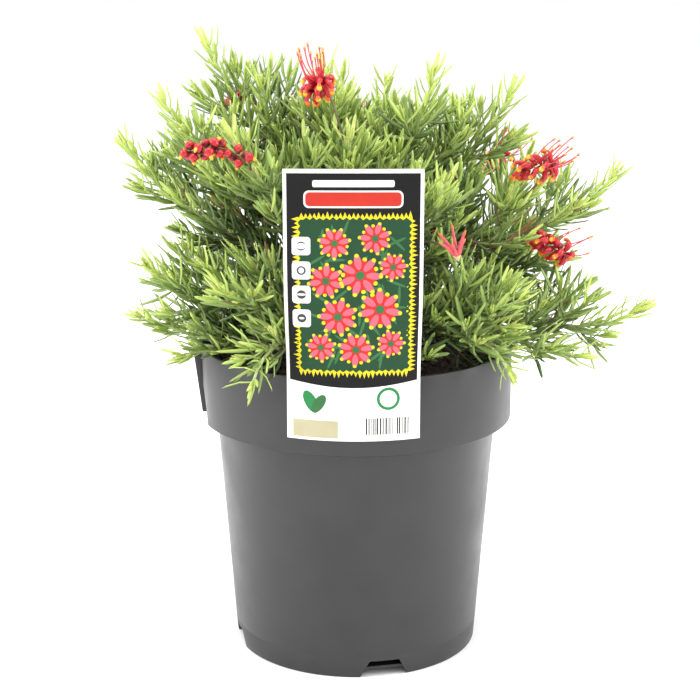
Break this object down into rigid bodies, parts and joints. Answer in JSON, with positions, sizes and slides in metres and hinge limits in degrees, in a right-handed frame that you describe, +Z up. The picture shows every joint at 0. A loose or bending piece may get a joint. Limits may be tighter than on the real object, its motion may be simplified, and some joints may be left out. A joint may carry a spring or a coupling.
{
  "type": "potted grevillea shrub",
  "caption": "Flowering grevillea shrub with fine upright leaves and red spider flowers, in a round plastic nursery pot with a tall plain plant label.",
  "frame": {"origin": "on the pot's axis, on the flat underside of its foot", "axes": "+Z up; the plant label faces -Y, and +X is to its right seen from the front"},
  "size_m": [0.3508, 0.2862, 0.4051],
  "materials": {
    "pot_plastic": "satin",
    "label_card": "satin",
    "potting_mix": "matte",
    "bark": "matte",
    "foliage": "satin"
  },
  "bodies": {
    "root": {"pot": "pot_plastic", "potting_mix": "potting_mix", "plant_label": "label_card", "trunk": "bark", "bough_right_low": "bark", "bough_back_low": "bark", "bough_left_low": "bark", "bough_left_rim": "bark", "bough_front_left_rim": "bark", "bough_front_right_rim": "bark", "bough_right_rim": "bark", "bough_back_right_low": "bark", "bough_back_middle": "bark", "bough_back_left_low": "bark", "bough_left_lower": "bark", "bough_front_left_low": "bark", "bough_front_right_low": "bark", "bough_right_middle": "bark", "bough_back_right_high": "bark", "bough_back_left_high": "bark", "bough_left_middle": "bark", "bough_left_upper": "bark", "bough_front_left_high": "bark", "bough_front_right_high": "bark", "bough_right_upper": "bark", "bough_right_high": "bark", "bough_top_back": "bark", "bough_left_high": "bark", "bough_crest_left": "bark", "bough_front_middle": "bark", "bough_crest_right": "bark", "foliage_right_low": "foliage", "foliage_back_low": "foliage", "foliage_left_low": "foliage", "foliage_left_rim": "foliage", "foliage_front_left_rim": "foliage", "foliage_front_right_rim": "foliage", "foliage_right_rim": "foliage", "foliage_back_right_low": "foliage", "foliage_back_middle": "foliage", "foliage_back_left_low": "foliage", "foliage_left_lower": "foliage", "foliage_front_left_low": "foliage", "foliage_front_right_low": "foliage", "foliage_right_middle": "foliage", "foliage_back_right_high": "foliage", "foliage_back_left_high": "foliage", "foliage_left_middle": "foliage", "foliage_left_upper": "foliage", "foliage_front_left_high": "foliage", "foliage_front_right_high": "foliage", "foliage_right_upper": "foliage", "foliage_right_high": "foliage", "foliage_top_back": "foliage", "foliage_left_high": "foliage", "foliage_crest_left": "foliage", "foliage_front_middle": "foliage", "foliage_crest_right": "foliage", "foliage_crest_middle": "foliage"}
  },
  "joints": []
}
